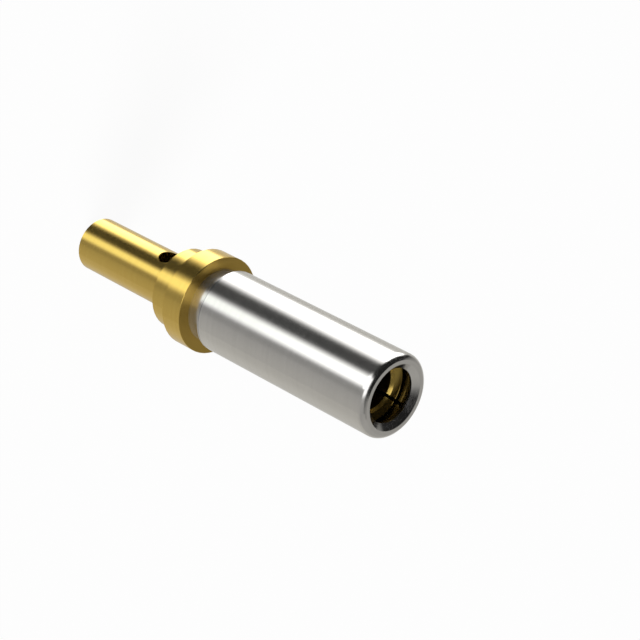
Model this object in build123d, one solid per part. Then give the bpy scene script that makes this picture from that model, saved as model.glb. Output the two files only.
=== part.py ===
from build123d import *
import os
from math import acos, atan2, radians, sin, tan

# Hooded socket contact for round power connectors, in millimetres.
# The origin is the centre of the crimp end face. +Z runs along the axis to the mouth of the hood.
# The inspection hole faces -Y.

# Crimp barrel
barrel_diameter = 2.62
barrel_length = 6.23
wire_well_diameter = 1.70
wire_well_depth = 5.85
wire_lead_in_diameter = 2.24
wire_lead_in_depth = 0.27
inspection_hole_diameter = 1.00
inspection_hole_height = 5.25

# Collar and flange between the barrel and the hood
collar_diameter = 3.90
collar_length = 1.18
flange_diameter = 4.70
flange_length = 1.16

# Hood, a drawn sleeve closed in at its mouth and swaged on at its rear end
hood_diameter = 3.93
hood_length = 11.25
hood_wall = 0.20
hood_front_wall = 0.35
hood_front_rounding = 0.36
hood_face_diameter = 3.46
hood_inner_rounding = 0.10
mouth_diameter = 2.54
mouth_lead_in_diameter = 3.08
mouth_lead_in_depth = 0.25
swage_length = 0.67
swage_drop = 0.18
swage_step = 0.10
swage_rounding = 0.04

# Socket inside the hood, slotted into two tines that are closed in at their tips
seat_length = 2.70
seat_gap = 0.005
tine_setback = 1.08
tine_relief = 0.045
tine_closing = 0.09
tine_tip_rounding = 0.08
socket_diameter = 2.42
socket_depth = 8.70
grip_length = 0.60
socket_face_diameter = 3.04
socket_face_depth = 0.095
socket_lead_in_diameter = 2.42
socket_lead_in_depth = 0.15
slot_tip_width = 0.14
slot_depth = 7.10
slot_turn = 45.0

# Shared by all turned work
drill_point_angle = 118.0
edge_break = 0.02

# Heights along the axis
collar_bottom = barrel_length
flange_bottom = collar_bottom + collar_length
flange_top = flange_bottom + flange_length
hood_top = flange_top + hood_length
tine_top = hood_top - tine_setback
tine_root = tine_top - slot_depth
seat_top = flange_top + seat_length
socket_floor = tine_top - socket_depth

# Radii that follow from the sizes above
hood_bore = hood_diameter / 2 - hood_wall
swage_bore = hood_bore - swage_drop
tine_root_radius = hood_bore - seat_gap - tine_relief
tine_tip_radius = tine_root_radius - tine_closing
socket_radius = socket_diameter / 2
grip_radius = socket_radius - tine_closing

# How far the front rounding of the hood has turned where the flat face cuts it, and what the face takes off
face_turn = acos(1 - (hood_diameter - hood_face_diameter) / 2 / hood_front_rounding)
face_cut = hood_front_rounding * (1 - sin(face_turn))

# The swaged step runs at the same slope outside and inside, so the wall keeps its thickness
step_shift = tan(atan2(swage_drop, swage_step) / 2)
step_bottom = flange_top + swage_length
step_inside = step_bottom + hood_wall * step_shift
step_on_body = step_inside + seat_gap * step_shift


def turned(*corners):
    """A solid of revolution about Z from corners of (radius, height) or (radius, height, rounding)."""
    points = [(corner[0], corner[1]) for corner in corners]
    roundings = [corner[2] if len(corner) > 2 else 0 for corner in corners]
    outline = FilletPolyline(*points, radius=roundings, close=True)
    return revolve(Plane.XZ * make_face(outline), Axis.Z)


def drill_point(diameter):
    """Length of the cone that a drill leaves at the bottom of its hole."""
    return diameter / 2 / tan(radians(drill_point_angle / 2))


def body_blank():
    """The turned outside of the contact body, with no holes yet."""
    barrel_radius = barrel_diameter / 2
    collar_radius = collar_diameter / 2
    flange_radius = flange_diameter / 2
    return turned(
        (0, 0),
        (barrel_radius - edge_break, 0),
        (barrel_radius, edge_break),
        (barrel_radius, collar_bottom),
        (collar_radius - edge_break, collar_bottom),
        (collar_radius, collar_bottom + edge_break),
        (collar_radius, flange_bottom),
        (flange_radius - edge_break, flange_bottom),
        (flange_radius, flange_bottom + edge_break),
        (flange_radius, flange_top - edge_break),
        (flange_radius - edge_break, flange_top),
        (swage_bore - seat_gap, flange_top),
        (swage_bore - seat_gap, step_on_body),
        (hood_bore - seat_gap, step_on_body + swage_step),
        (hood_bore - seat_gap, seat_top),
        (tine_root_radius, seat_top + tine_relief),
        (tine_root_radius, tine_root),
        (tine_tip_radius, tine_top, tine_tip_rounding),
        (0, tine_top),
    )


def wire_well():
    """The hole for the wire strands, with its lead-in cone and drill point."""
    well_radius = wire_well_diameter / 2
    return turned(
        (0, 0),
        (wire_lead_in_diameter / 2, 0),
        (well_radius, wire_lead_in_depth),
        (well_radius, wire_well_depth),
        (0, wire_well_depth + drill_point(wire_well_diameter)),
    )


def inspection_hole():
    """A cross hole through the front wall of the barrel, for seeing the wire in its well."""
    reach = barrel_diameter
    tool = Cylinder(inspection_hole_diameter / 2, reach, align=(Align.CENTER, Align.CENTER, Align.MIN))
    return Pos(0, 0, inspection_hole_height) * Rot(X=90) * tool


def socket_hole():
    """The hole for the mating pin: drill point, bore, grip at the closed-in tips, lead-in and dished face."""
    face_bottom = tine_top - socket_face_depth
    grip_top = face_bottom - socket_lead_in_depth
    return turned(
        (0, socket_floor - drill_point(socket_diameter)),
        (socket_radius, socket_floor),
        (socket_radius, tine_root),
        (grip_radius, grip_top - grip_length),
        (grip_radius, grip_top),
        (socket_lead_in_diameter / 2, face_bottom),
        (socket_face_diameter / 2, tine_top),
        (0, tine_top),
    )


def slot():
    """A saw cut across the socket. It narrows to the tips, where the tines are closed in."""
    half_tip = slot_tip_width / 2
    half_root = half_tip + tine_closing
    above = tine_setback
    corners = [(-half_root, tine_root), (half_root, tine_root), (half_tip, tine_top)]
    corners += [(half_tip, tine_top + above), (-half_tip, tine_top + above), (-half_tip, tine_top)]
    outline = make_face(Polyline(*corners, close=True))
    return Rot(Z=slot_turn) * extrude(Plane.XZ * outline, hood_diameter / 2, both=True)


def contact_body():
    """Crimp barrel, collar, flange and slotted socket, turned from one bar."""
    return body_blank() - wire_well() - inspection_hole() - socket_hole() - slot()


def hood_sleeve():
    """The drawn sleeve, swaged into the groove of the body, with its front end still fully rounded."""
    outer = hood_diameter / 2
    front_inside = hood_top - hood_front_wall
    return turned(
        (swage_bore, flange_top),
        (outer - swage_drop, flange_top),
        (outer - swage_drop, step_bottom, swage_rounding),
        (outer, step_bottom + swage_step, swage_rounding),
        (outer, hood_top + face_cut, hood_front_rounding),
        (mouth_diameter / 2, hood_top + face_cut),
        (mouth_diameter / 2, front_inside),
        (hood_bore, front_inside, hood_inner_rounding),
        (hood_bore, step_inside + swage_step),
        (swage_bore, step_inside),
    )


def hood_face():
    """What is turned off the front of the hood: all above its flat face, and the lead-in of the mouth."""
    return turned(
        (0, hood_top - mouth_lead_in_depth),
        (mouth_diameter / 2, hood_top - mouth_lead_in_depth),
        (mouth_lead_in_diameter / 2, hood_top),
        (hood_diameter / 2, hood_top),
        (hood_diameter / 2, hood_top + face_cut),
        (0, hood_top + face_cut),
    )


def hood():
    """The sleeve over the socket, seated on the flange."""
    return hood_sleeve() - hood_face()


os.makedirs("parts", exist_ok=True)
export_step(contact_body(), "parts/contact_body.step")
export_step(hood(), "parts/hood.step")
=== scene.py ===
import math

import bpy
from mathutils import Euler, Matrix, Vector

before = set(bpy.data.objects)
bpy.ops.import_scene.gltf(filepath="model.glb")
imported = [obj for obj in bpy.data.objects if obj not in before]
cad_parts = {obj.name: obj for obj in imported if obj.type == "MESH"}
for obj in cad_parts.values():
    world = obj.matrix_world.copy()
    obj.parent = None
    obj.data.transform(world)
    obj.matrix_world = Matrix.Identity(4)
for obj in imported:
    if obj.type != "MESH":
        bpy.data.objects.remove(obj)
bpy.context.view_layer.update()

# Hooded socket contact: the two CAD nodes get their materials, and a floor, a light tent, a lamp and a camera
# are set round them. Lengths are in metres, and in millimetres where MM turns them into metres.
MM = 0.001

# Linear colours
GOLD = (0.83, 0.59, 0.15)
GOLD_DEEP = (0.76, 0.50, 0.11)
STEEL = (0.72, 0.705, 0.68)
STEEL_DEEP = (0.64, 0.625, 0.60)
# Painted shade: the dark colour deep in the body's bores
BORE_PAINTED_SHADE = (0.10, 0.06, 0.02)
# Painted shade: a darker gold for the flange's front face
FLANGE_FACE_PAINTED_SHADE = (0.54, 0.36, 0.08)
# Painted shade: a darker grey for the inside of the hood
HOOD_INSIDE_PAINTED_SHADE = (0.30, 0.28, 0.23)
# Painted shade: a still darker grey just behind the hood's mouth
BEHIND_MOUTH_PAINTED_SHADE = (0.13, 0.12, 0.10)
# Painted shade: a dark grey for a fine line round the hood, where it turns in towards its swaged foot
SEAM_PAINTED_SHADE = (0.22, 0.21, 0.20)

# Finish: lathe lines in millimetres, shares of roughness, and how metallic a satin place is
ANISOTROPY = 0.5
FINE_LINES = {"pitch": 0.04, "spread": 4.0}
COARSE_LINES = {"pitch": 0.18, "spread": 8.0}
TINT_SCALE = 0.45
TINT_SHARE = 0.6
DULL_BORE = 0.25
DULL_FACE = 0.18
DULL_BEHIND_MOUTH = 0.15
SATIN = 0.80
# How strongly the painted dark line of shade round the hood shows
SEAM_PAINTED_SHADE_STRENGTH = 0.6

# Places on the part, in millimetres. A pair is where a change between two finishes, or into painted shade,
# starts and where it ends.
WELL_RADIUS = 0.85
SOCKET_RADIUS = 1.21
FLANGE_TOP = 8.57
SEAM_HEIGHT = 9.43
CRIMP_MOUTH = (0.3, 1.5)
WELL_TO_SOCKET = (6.8, 6.9)
PAST_BORE_WALL = (0.005, 0.02)
OFF_FLANGE_FACE = (0.004, 0.012)
TINE_TIPS = (18.455, 18.495)
SATIN_FOOT = (FLANGE_TOP + 0.38, FLANGE_TOP + 0.58)
HOOD_FOOT = (FLANGE_TOP + 0.8, FLANGE_TOP + 0.9)
OFF_SEAM = (0.012, 0.03)
HOOD_WALL = (1.77, 1.79)
MOUTH_BACK = (19.25, 19.35)
MOUTH_LEAD_IN = (19.54, 19.57)

# The photograph's camera: place in millimetres, turn in degrees
CAMERA_PLACE = (51.7106, -45.3625, 69.1774)
CAMERA_TURN = (-29.392, -44.283, 178.896)
CAMERA_LENS = 112.544
CAMERA_AZIMUTH = -41.0

# Stage
FLOOR_HALF = 0.6
FLOOR_COLOURS = (0.80, 0.84)
FLOOR_GRAIN = 900.0
FLOOR_OWN_LIGHT = 0.95
WORLD_LIGHT = 0.12
LAMP_PLACE = (0.18, 0.25, 0.54)
LAMP_SIZE = 0.25
LAMP_WATTS = 3.4
TENT_RADIUS = 0.12
TENT_MIDDLE = 10 * MM

# Light tent: its panels by azimuth from the camera's side, and the tiers that they stand in, in degrees of
# elevation. A panel stop is (azimuth, level, warmth), and where it has a fourth number, that share of green.
LEVEL_TOP = 2.8
LEVEL_DARK = 0.015
FOOT_TO_LOW = (-45, -15)
LOW_TO_MIDDLE = (-5, 5)
MIDDLE_TO_HIGH = (47, 53)
HIGH_TO_DARK = (72, 80)

# How high the low panels reach: (azimuth, elevation), with elevations from -TOPS_REACH to TOPS_REACH
TOPS_REACH = 30
LOW_PANEL_TOPS = [
    (-180, 8), (-150, 2), (-128, 0), (-116, 10), (-100, 15), (-76, 21), (-66, 16), (-56, 12), (50, 12),
    (90, 0), (150, 0), (180, 8),
]
# At the foot of the tent: narrow white panels between wide grey and dark ones
FOOT_PANELS = [
    (-180, 0.72, 0.05), (-164, 0.68, 0.06), (-150, 0.60, 0.08), (-138, 0.60, 0.09), (-127, 0.64, 0.08),
    (-121, 0.90, 0.03), (-115, 2.6, 0.0), (-82, 2.4, 0.0), (-75, 1.4, 0.0), (-69, 0.70, 0.0),
    (-61, 0.16, 0.03), (-54, 0.07, 0.0), (-32, 0.07, 0.0), (-27, 0.12, 0.0), (-19, 0.50, 0.0),
    (-11, 1.24, 0.0, 0.055), (3, 1.24, 0.0, 0.055), (11, 0.68, -0.01), (17, 0.33, 0.01), (22, 0.31, 0.02),
    (31, 0.32, 0.03), (40, 0.41, 0.04), (60, 0.46, 0.06), (90, 0.52, 0.08), (120, 0.60, 0.09),
    (140, 0.60, 0.09), (152, 0.56, 0.08), (165, 0.70, 0.06), (180, 0.72, 0.05),
]
# Up to the part's own height: the white panels are wider
LOW_PANELS = [
    (-180, 0.66, 0.05), (-150, 0.52, 0.07), (-127, 0.54, 0.07), (-121, 0.90, 0.03), (-115, 2.6, 0.0),
    (-67, 2.6, 0.0), (-61, 1.2, 0.0), (-56, 0.40, 0.02), (-51, 0.08, 0.02), (-46, 0.07, 0.0),
    (-30, 0.07, 0.0), (-26, 0.16, 0.0), (-20, 1.10, 0.0), (-14, 2.4, -0.02), (7, 2.75, -0.02),
    (13, 1.4, -0.01), (18, 0.45, 0.01), (22, 0.31, 0.02), (31, 0.32, 0.03), (40, 0.40, 0.04),
    (60, 0.44, 0.06), (90, 0.49, 0.08), (120, 0.55, 0.08), (150, 0.54, 0.08), (165, 0.64, 0.06),
    (180, 0.66, 0.05),
]
# Above the part: seen on the rounding of the hood's front
MIDDLE_PANELS = [
    (-180, 0.40, 0.06), (-150, 0.34, 0.06), (-140, 0.24, 0.04), (-130, 0.02, 0.0), (-22, 0.02, 0.0),
    (-14, 1.5, -0.02), (28, 1.6, -0.02), (38, 0.45, 0.02), (60, 0.40, 0.04), (84, 0.38, 0.05),
    (110, 0.44, 0.06), (180, 0.40, 0.06),
]
# High up: seen on the hood's face and on the lead-in of its mouth
HIGH_PANELS = [
    (-180, 0.17, 0.05), (-168, 0.08, 0.03), (-156, LEVEL_DARK, 0.0), (40, LEVEL_DARK, 0.0),
    (60, 0.14, 0.02), (84, 0.22, 0.04), (110, 0.33, 0.06), (135, 0.28, 0.06), (160, 0.24, 0.06),
    (180, 0.17, 0.05),
]


class Nodes:
    """Adds nodes to one tree and links them, so that a material reads as a few lines of arithmetic."""

    def __init__(self, tree):
        self.tree = tree
        tree.nodes.clear()

    def add(self, kind, settings=None, **inputs):
        """Adds a node. An input is named as its socket, with _ for a space, or i and its number."""
        node = self.tree.nodes.new(kind)
        for name, value in (settings or {}).items():
            setattr(node, name, value)
        for name, value in inputs.items():
            self.give(self.socket(node, name), value)
        return node

    def socket(self, node, name):
        if name[0] == "i" and name[1:].isdigit():
            return node.inputs[int(name[1:])]
        return node.inputs[name.replace("_", " ")]

    def give(self, socket, value):
        """Links a socket or a node's first output to the socket, or sets the socket's own value."""
        if isinstance(value, bpy.types.NodeSocket):
            self.tree.links.new(value, socket)
        elif isinstance(value, bpy.types.Node):
            self.tree.links.new(value.outputs[0], socket)
        else:
            socket.default_value = value

    def maths(self, operation, *values, clamp=False):
        node = self.add("ShaderNodeMath", {"operation": operation, "use_clamp": clamp})
        for socket, value in zip(node.inputs, values):
            self.give(socket, value)
        return node.outputs[0]

    def plus(self, first, second, clamp=False):
        return self.maths("ADD", first, second, clamp=clamp)

    def minus(self, first, second):
        return self.maths("SUBTRACT", first, second)

    def times(self, first, second, clamp=False):
        return self.maths("MULTIPLY", first, second, clamp=clamp)

    def distance_from_axis(self, x, y):
        return self.maths("SQRT", self.plus(self.times(x, x), self.times(y, y)))

    def range(self, value, low, high, to_low, to_high, smooth=False):
        settings = {"interpolation_type": "SMOOTHSTEP" if smooth else "LINEAR"}
        node = self.add("ShaderNodeMapRange", settings)
        for socket, given in zip(node.inputs, (value, low, high, to_low, to_high)):
            self.give(socket, given)
        return node.outputs[0]

    def mix(self, factor, first, second):
        node = self.add("ShaderNodeMix", {"data_type": "RGBA"})
        for socket, value in zip((node.inputs[0], node.inputs[6], node.inputs[7]), (factor, first, second)):
            self.give(socket, value)
        return node.outputs[2]

    def noise(self, vector, scale):
        return self.add("ShaderNodeTexNoise", Vector=vector, Scale=scale, Detail=2.0).outputs[0]

    def object_place(self):
        return self.add("ShaderNodeTexCoord").outputs["Object"]

    def split(self, vector):
        return self.add("ShaderNodeSeparateXYZ", i0=vector).outputs

    def seen_directly(self):
        """1 for camera, glossy and transmission rays, and 0 for the rest."""
        path = self.add("ShaderNodeLightPath")
        seen = self.plus(path.outputs["Is Camera Ray"], path.outputs["Is Glossy Ray"])
        return self.plus(seen, path.outputs["Is Transmission Ray"], clamp=True)


def rgba(colour):
    return (*colour, 1.0)


def grey(level):
    return (level, level, level, 1.0)


def new_material(name):
    material = bpy.data.materials.new(name)
    material.use_nodes = True
    return material, Nodes(material.node_tree)


# Materials of the part


def turned_metal(name, colour, deep_colour, roughness, line_depth, marks):
    """Metal turned on a lathe: fine lines round the axis, which fade in and out, and a slow change of tint.

    The depth of the lines is in millimetres. The function marks adds places of its own to the colour and the
    roughness, and says how metallic the surface is.
    """
    material, nodes = new_material(name)
    scaled = nodes.add("ShaderNodeVectorMath", {"operation": "SCALE"}, i0=nodes.object_place(), Scale=1 / MM)
    place = scaled.outputs[0]
    x, y, z = nodes.split(place)
    radius = nodes.distance_from_axis(x, y)
    across = nodes.plus(z, radius)

    def lines(pitch, spread):
        """Noise that changes over pitch across the lathe lines, and over spread along them."""
        along_x, along_y = nodes.times(x, 1 / spread), nodes.times(y, 1 / spread)
        vector = nodes.add("ShaderNodeCombineXYZ", i0=along_x, i1=along_y, i2=nodes.times(across, 1 / pitch))
        return nodes.noise(vector, 1.0)

    fine = lines(**FINE_LINES)
    coarse = lines(**COARSE_LINES)
    slow = nodes.noise(place, TINT_SCALE)

    tint = nodes.plus(nodes.range(coarse, 0.35, 0.65, 0.0, 0.4), nodes.range(slow, 0.3, 0.7, 0.0, 0.4))
    base = nodes.mix(nodes.times(tint, TINT_SHARE, clamp=True), rgba(colour), rgba(deep_colour))
    rough_lines = nodes.range(fine, 0.3, 0.7, -0.02, 0.02)
    rough = nodes.plus(nodes.plus(rough_lines, nodes.range(slow, 0.3, 0.7, -0.01, 0.015)), roughness)
    base, rough, metallic = marks(nodes, radius, z, base, rough)

    height = nodes.plus(nodes.times(coarse, 0.7), nodes.times(fine, 0.3))
    bump = nodes.add("ShaderNodeBump", Strength=1.0, Distance=line_depth * MM, Height=height)
    tangent = nodes.add("ShaderNodeTangent", {"direction_type": "RADIAL", "axis": "Z"})
    shader = nodes.add(
        "ShaderNodeBsdfPrincipled",
        Base_Color=base,
        Metallic=metallic,
        Roughness=rough,
        Anisotropic=ANISOTROPY,
        Anisotropic_Rotation=0.25,
        Normal=bump,
        Tangent=tangent,
    )
    nodes.add("ShaderNodeOutputMaterial", Surface=shader)
    return material


def body_marks(nodes, radius, z, base, rough):
    """Deep in its holes the plating is dull and darkened by painted shade, the flange's front is duller and
    darkened by painted shade, and the tips are satin.
    """
    wall = nodes.range(z, *WELL_TO_SOCKET, WELL_RADIUS, SOCKET_RADIUS)
    inside = nodes.range(nodes.minus(radius, wall), *PAST_BORE_WALL, 1.0, 0.0)
    tips = nodes.range(z, *TINE_TIPS, 0.0, 1.0)
    above_crimp_mouth = nodes.range(z, *CRIMP_MOUTH, 0.0, 1.0)
    deep = nodes.times(inside, nodes.minus(above_crimp_mouth, tips))
    # Painted shade: the bores are darkened deep inside, where they are also made dull
    base = nodes.mix(deep, base, rgba(BORE_PAINTED_SHADE))
    rough = nodes.plus(rough, nodes.times(deep, DULL_BORE))

    # Painted shade: the flange's front face is darkened; it is also made duller
    off_face = nodes.maths("ABSOLUTE", nodes.minus(z, FLANGE_TOP))
    face = nodes.range(off_face, *OFF_FLANGE_FACE, 1.0, 0.0)
    base = nodes.mix(face, base, rgba(FLANGE_FACE_PAINTED_SHADE))
    rough = nodes.plus(rough, nodes.times(face, DULL_FACE))
    return base, rough, nodes.range(tips, 0.0, 1.0, 1.0, SATIN)


def hood_marks(nodes, radius, z, base, rough):
    """The hood is darkened inside by painted shade, most just behind its mouth, where it is also dull; it is
    satin at its swaged foot, with a painted dark line of shade round it.
    """
    inner = nodes.range(radius, *HOOD_WALL, 1.0, 0.0)
    below_lead_in = nodes.range(z, *MOUTH_LEAD_IN, 1.0, 0.0)
    above_foot = nodes.range(z, *HOOD_FOOT, 0.0, 1.0)
    inside = nodes.times(inner, nodes.times(below_lead_in, above_foot))
    by_mouth = nodes.range(z, *MOUTH_BACK, 0.0, 1.0)
    # Painted shade: the inside of the hood is darkened, most just behind its mouth
    base = nodes.mix(inside, base, nodes.mix(by_mouth, rgba(HOOD_INSIDE_PAINTED_SHADE), rgba(BEHIND_MOUTH_PAINTED_SHADE)))
    rough = nodes.plus(rough, nodes.times(nodes.times(inside, by_mouth), DULL_BEHIND_MOUTH))

    # Painted shade: a fine dark line round the hood, standing in for the shade where it turns in towards its
    # swaged foot
    off_line = nodes.maths("ABSOLUTE", nodes.minus(z, SEAM_HEIGHT))
    line = nodes.range(off_line, *OFF_SEAM, SEAM_PAINTED_SHADE_STRENGTH, 0.0, smooth=True)
    base = nodes.mix(line, base, rgba(SEAM_PAINTED_SHADE))
    return base, rough, nodes.range(z, *SATIN_FOOT, SATIN, 1.0)


def dress(node_name, material):
    """Gives a CAD node its material in every slot."""
    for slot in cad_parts[node_name].material_slots:
        slot.material = material


# Stage


def floor_material():
    """A floor that is seen as almost pure white and still takes a faint shadow of the part."""
    material, nodes = new_material("white_floor")
    grain = nodes.noise(nodes.object_place(), FLOOR_GRAIN)
    colour = nodes.mix(grain, *(grey(level) for level in FLOOR_COLOURS))
    paper = nodes.add("ShaderNodeBsdfDiffuse", Color=colour, Roughness=0.5)
    share = nodes.times(nodes.seen_directly(), FLOOR_OWN_LIGHT)
    white = nodes.add("ShaderNodeEmission", Color=grey(1.0), Strength=1.0)
    shader = nodes.add("ShaderNodeMixShader", i0=share, i1=paper, i2=white)
    nodes.add("ShaderNodeOutputMaterial", Surface=shader)
    return material


def make_floor():
    """A flat square floor. Reflections show the tent in its place."""
    half = FLOOR_HALF
    corners = [(-half, -half, 0), (half, -half, 0), (half, half, 0), (-half, half, 0)]
    mesh = bpy.data.meshes.new("floor")
    mesh.from_pydata(corners, [], [(0, 1, 2, 3)])
    mesh.materials.append(floor_material())
    floor = bpy.data.objects.new("floor", mesh)
    bpy.context.scene.collection.objects.link(floor)
    floor.visible_glossy = False


def ramp(nodes, azimuth, stops):
    """A colour ramp of panel stops over an azimuth in radians. Its levels are shares of LEVEL_TOP."""
    node = nodes.add("ShaderNodeValToRGB", i0=nodes.range(azimuth, -math.pi, math.pi, 0.0, 1.0))
    elements = node.color_ramp.elements
    elements[0].position, elements[1].position = 0.0, 1.0
    for _ in range(len(stops) - 2):
        elements.new(0.5)
    for element, (degrees, level, warmth, *green) in zip(elements, stops):
        element.position = (degrees + 180) / 360
        shade = level / LEVEL_TOP
        rest = shade * (1 - sum(green))
        element.color = (rest, shade * (1 - 0.25 * warmth), rest * (1 - warmth), 1)
    return node.outputs[0]


def tent_material():
    """Panels of a light tent by azimuth, in tiers one above another, and a dark top."""
    material, nodes = new_material("light_tent_panels")
    x, y, z = nodes.split(nodes.object_place())
    azimuth = nodes.maths("ARCTAN2", y, x)
    elevation = nodes.maths("ARCTAN2", z, nodes.distance_from_axis(x, y))

    def above(height, tier, smooth=True):
        """0 below the tier and 1 above it."""
        return nodes.range(height, *(math.radians(edge) for edge in tier), 0.0, 1.0, smooth)

    reach = math.radians(TOPS_REACH)
    tops = [(degrees, (top / TOPS_REACH + 1) / 2 * LEVEL_TOP, 0.0) for degrees, top in LOW_PANEL_TOPS]
    tops = nodes.range(ramp(nodes, azimuth, tops), 0.0, 1.0, -reach, reach)
    foot, low, middle, high = (
        ramp(nodes, azimuth, panels) for panels in (FOOT_PANELS, LOW_PANELS, MIDDLE_PANELS, HIGH_PANELS)
    )
    colour = nodes.mix(above(elevation, FOOT_TO_LOW, smooth=False), foot, low)
    colour = nodes.mix(above(nodes.minus(elevation, tops), LOW_TO_MIDDLE), colour, middle)
    colour = nodes.mix(above(elevation, MIDDLE_TO_HIGH), colour, high)
    colour = nodes.mix(above(elevation, HIGH_TO_DARK), colour, grey(LEVEL_DARK / LEVEL_TOP))
    shader = nodes.add("ShaderNodeEmission", Color=colour, Strength=LEVEL_TOP)
    nodes.add("ShaderNodeOutputMaterial", Surface=shader)
    material.cycles.emission_sampling = "NONE"
    return material


def make_tent():
    """A round light tent about the part. Only reflections show it."""
    bpy.ops.mesh.primitive_uv_sphere_add(segments=96, ring_count=48, radius=TENT_RADIUS)
    tent = bpy.context.object
    tent.name = "light_tent"
    for polygon in tent.data.polygons:
        polygon.use_smooth = True
    tent.location = (0, 0, TENT_MIDDLE)
    tent.rotation_euler = (0, 0, math.radians(CAMERA_AZIMUTH))
    tent.data.materials.append(tent_material())
    tent.visible_camera = tent.visible_diffuse = tent.visible_shadow = False
    tent.visible_transmission = tent.visible_volume_scatter = False


def make_lamp():
    """A soft round lamp that looks at the origin. It lights what isn't mirror-like."""
    lamp = bpy.data.lights.new("key_lamp", "AREA")
    lamp.shape = "DISK"
    lamp.size = LAMP_SIZE
    lamp.energy = LAMP_WATTS
    thing = bpy.data.objects.new("key_lamp", lamp)
    bpy.context.scene.collection.objects.link(thing)
    thing.location = LAMP_PLACE
    thing.rotation_mode = "QUATERNION"
    thing.rotation_quaternion = Vector(LAMP_PLACE).to_track_quat("Z", "Y")
    thing.visible_glossy = False


def make_world():
    """White where it is seen, and a weak even light otherwise."""
    world = bpy.data.worlds.new("studio")
    world.use_nodes = True
    nodes = Nodes(world.node_tree)
    strength = nodes.range(nodes.seen_directly(), 0.0, 1.0, WORLD_LIGHT, 1.0)
    light = nodes.add("ShaderNodeBackground", Color=grey(1.0), Strength=strength)
    nodes.add("ShaderNodeOutputWorld", Surface=light)
    bpy.context.scene.world = world


def make_camera():
    camera = bpy.data.cameras.new("photo_camera")
    camera.sensor_width = 36.0
    camera.lens = CAMERA_LENS
    camera.clip_start, camera.clip_end = 0.005, 5.0
    thing = bpy.data.objects.new("photo_camera", camera)
    bpy.context.scene.collection.objects.link(thing)
    turn = Euler([math.radians(angle) for angle in CAMERA_TURN])
    thing.matrix_world = Matrix.LocRotScale(Vector(CAMERA_PLACE) * MM, turn, None)
    bpy.context.scene.camera = thing


dress("contact_body", turned_metal("gold_plating_turned", GOLD, GOLD_DEEP, 0.18, 0.0003, body_marks))
dress("hood", turned_metal("stainless_hood_polished", STEEL, STEEL_DEEP, 0.17, 0.0002, hood_marks))
make_floor()
make_tent()
make_lamp()
make_world()
make_camera()
bpy.context.scene.view_settings.view_transform = "Standard"
